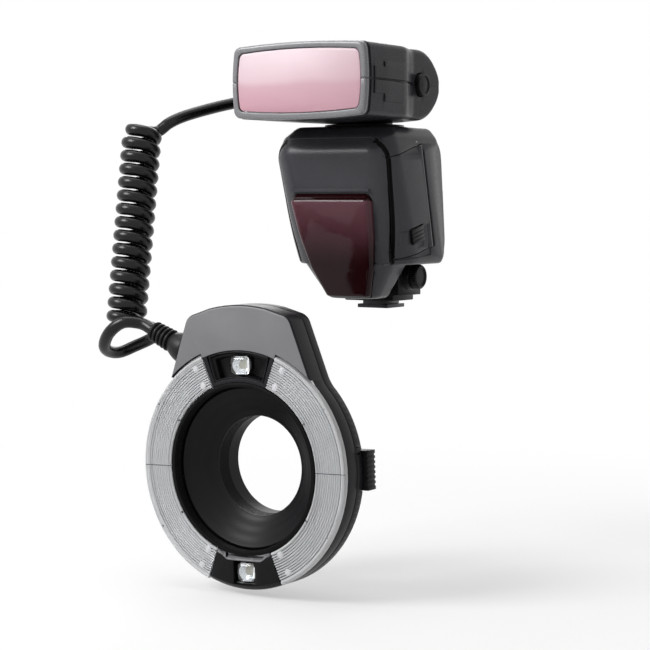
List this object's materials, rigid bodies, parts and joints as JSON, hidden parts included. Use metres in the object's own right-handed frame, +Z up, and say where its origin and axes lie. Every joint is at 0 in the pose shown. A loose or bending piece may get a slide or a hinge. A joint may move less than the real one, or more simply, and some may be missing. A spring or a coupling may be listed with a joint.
{
  "type": "macro ring flash",
  "caption": "Ring-shaped macro flash on a curly cord, with a control unit that has a tilting, swivelling flash head and slides into a camera's hot shoe.",
  "frame": {"origin": "middle of the underside of the hot shoe foot's plate", "axes": "+X to the right seen from the front, +Y to the back of the control unit, +Z up"},
  "size_m": [0.1609, 0.1471, 0.2675],
  "materials": {
    "shell_plastic": "satin black",
    "dark_red_plastic": "glossy dark red",
    "inner_plastic": "matt dark",
    "lamp_plastic": "clear lamp",
    "cell_label": "label film",
    "contact_metal": "plated",
    "steel": "bright",
    "board": "solder mask",
    "display": "grey green",
    "display_cover": "clear cover",
    "key_plastic": "matt",
    "test_key_plastic": "dark red",
    "foot_metal": "black coated",
    "neck_plastic": "matt black",
    "head_plastic": "satin charcoal",
    "bezel_plastic": "satin grey",
    "head_diffuser": "pink diffuser",
    "reflector_metal": "bright anodised",
    "tube_glass": "clear",
    "capacitor_sleeve": "shrink sleeve",
    "gland_rubber": "matt black",
    "ring_face_plastic": "satin grey face",
    "ring_plastic": "satin black",
    "prism_plastic": "clear ribbed",
    "adapter_metal": "black anodised",
    "cord_jacket": "glossy black"
  },
  "bodies": {
    "control_unit": {"front_shell": "shell_plastic", "rear_shell": "shell_plastic", "assist_window": "dark_red_plastic", "assist_lamps": "lamp_plastic", "battery_tray": "inner_plastic", "battery_cells": "cell_label", "door_hinge_pin": "steel", "main_board": "board", "display_module": "display", "display_window": "display_cover", "foot_plate": "foot_metal", "foot_block": "shell_plastic", "foot_contacts": "contact_metal", "ring_front_cover": "ring_face_plastic", "ring_rear_housing": "ring_plastic", "ring_sleeve": "ring_plastic", "ring_lens_left": "prism_plastic", "ring_lens_right": "prism_plastic", "reflector_left": "reflector_metal", "reflector_right": "reflector_metal", "flash_tube_left": "tube_glass", "flash_tube_right": "tube_glass", "lamp_trim_top": "ring_plastic", "lamp_trim_bottom": "ring_plastic", "lamp_lenses": "prism_plastic", "lamp_leds": "lamp_plastic", "ring_board": "board", "ring_boot": "gland_rubber", "housing_screws": "steel", "cord_upper": "cord_jacket", "cord_coil": "cord_jacket", "cord_lower": "cord_jacket"},
    "neck": {"neck": "neck_plastic", "swivel_retainer": "steel", "head_gland": "gland_rubber"},
    "flash_head": {"head_upper_shell": "head_plastic", "head_lower_shell": "head_plastic", "head_bezel": "bezel_plastic", "head_window": "head_diffuser", "head_reflector": "reflector_metal", "head_tube": "tube_glass", "main_capacitor": "capacitor_sleeve"},
    "tilt_button": {"tilt_button": "key_plastic"},
    "battery_door": {"battery_door": "shell_plastic", "door_contacts": "contact_metal"},
    "door_latch": {"door_latch": "key_plastic"},
    "lock_knob": {"lock_knob": "key_plastic"},
    "lock_pin": {"lock_pin": "steel"},
    "control_dial": {"control_dial": "key_plastic"},
    "power_switch": {"power_switch": "key_plastic"},
    "release_right": {"release_right": "key_plastic"},
    "release_left": {"release_left": "key_plastic"},
    "lens_adapter": {"lens_adapter": "adapter_metal"},
    "soft_key_1": {"soft_key_1": "key_plastic"},
    "soft_key_2": {"soft_key_2": "key_plastic"},
    "soft_key_3": {"soft_key_3": "key_plastic"},
    "soft_key_4": {"soft_key_4": "key_plastic"},
    "mode_key": {"mode_key": "key_plastic"},
    "test_key": {"test_key": "test_key_plastic"},
    "set_key": {"set_key": "key_plastic"}
  },
  "joints": [
    {"name": "head_swivel", "type": "hinge", "parent": "control_unit", "child": "neck", "pos_m": [0, -0.0175, 0.0955], "axis": [0, 0, 1], "range_deg": [-90, 90], "deforming": ["cord_upper", "cord_coil"]},
    {"name": "head_tilt", "type": "hinge", "parent": "neck", "child": "flash_head", "pos_m": [0, -0.0175, 0.117], "axis": [-1, 0, 0], "range_deg": [0, 90]},
    {"name": "tilt_button_press", "type": "slide", "parent": "flash_head", "child": "tilt_button", "axis": [-1, 0, 0], "range_m": [0, 0.002], "stiffness_N_per_m": 500},
    {"name": "door_swing", "type": "hinge", "parent": "control_unit", "child": "battery_door", "pos_m": [0.0332, -0.01269, 0.04968], "axis": [0, -0.2334, 0.9724], "range_deg": [0, 90]},
    {"name": "door_latch_slide", "type": "slide", "parent": "battery_door", "child": "door_latch", "axis": [0, 0.2334, -0.9724], "range_m": [0, 0.003], "stiffness_N_per_m": 300},
    {"name": "lock_turn", "type": "hinge", "parent": "control_unit", "child": "lock_knob", "pos_m": [0.02, -0.004, 0.017], "axis": [1, 0, 0], "range_deg": [0, 90]},
    {"name": "lock_pin_drop", "type": "slide", "parent": "control_unit", "child": "lock_pin", "axis": [0, 0, -1], "range_m": [0, 0.0012]},
    {"name": "dial_turn", "type": "hinge", "parent": "control_unit", "child": "control_dial", "pos_m": [0, 0.01036, 0.04101], "axis": [0, 0.9967, 0.0811], "continuous": true},
    {"name": "power_slide", "type": "slide", "parent": "control_unit", "child": "power_switch", "axis": [1, 0, 0], "range_m": [0, 0.0045]},
    {"name": "release_right_press", "type": "slide", "parent": "control_unit", "child": "release_right", "axis": [-0.9994, 0, -0.0349], "range_m": [0, 0.0018], "stiffness_N_per_m": 600},
    {"name": "release_left_press", "type": "slide", "parent": "control_unit", "child": "release_left", "axis": [0.9994, 0, 0.0349], "range_m": [0, 0.0018], "stiffness_N_per_m": 600},
    {"name": "adapter_turn", "type": "hinge", "parent": "control_unit", "child": "lens_adapter", "pos_m": [0, -0.104, -0.072], "axis": [0, 1, 0], "continuous": true},
    {"name": "soft_key_1_press", "type": "slide", "parent": "control_unit", "child": "soft_key_1", "axis": [0, -0.9967, -0.0811], "range_m": [0, 0.0008], "stiffness_N_per_m": 400},
    {"name": "soft_key_2_press", "type": "slide", "parent": "control_unit", "child": "soft_key_2", "axis": [0, -0.9967, -0.0811], "range_m": [0, 0.0008], "stiffness_N_per_m": 400},
    {"name": "soft_key_3_press", "type": "slide", "parent": "control_unit", "child": "soft_key_3", "axis": [0, -0.9967, -0.0811], "range_m": [0, 0.0008], "stiffness_N_per_m": 400},
    {"name": "soft_key_4_press", "type": "slide", "parent": "control_unit", "child": "soft_key_4", "axis": [0, -0.9967, -0.0811], "range_m": [0, 0.0008], "stiffness_N_per_m": 400},
    {"name": "mode_key_press", "type": "slide", "parent": "control_unit", "child": "mode_key", "axis": [0, -0.9967, -0.0811], "range_m": [0, 0.0008], "stiffness_N_per_m": 400},
    {"name": "test_key_press", "type": "slide", "parent": "control_unit", "child": "test_key", "axis": [0, -0.9967, -0.0811], "range_m": [0, 0.0008], "stiffness_N_per_m": 400},
    {"name": "set_key_press", "type": "slide", "parent": "control_unit", "child": "set_key", "axis": [0, -0.9967, -0.0811], "range_m": [0, 0.0008], "stiffness_N_per_m": 400}
  ],
  "couplings": [
    {"joint": "lock_turn", "follows": "lock_pin_drop", "rad_per_m": 1309}
  ]
}
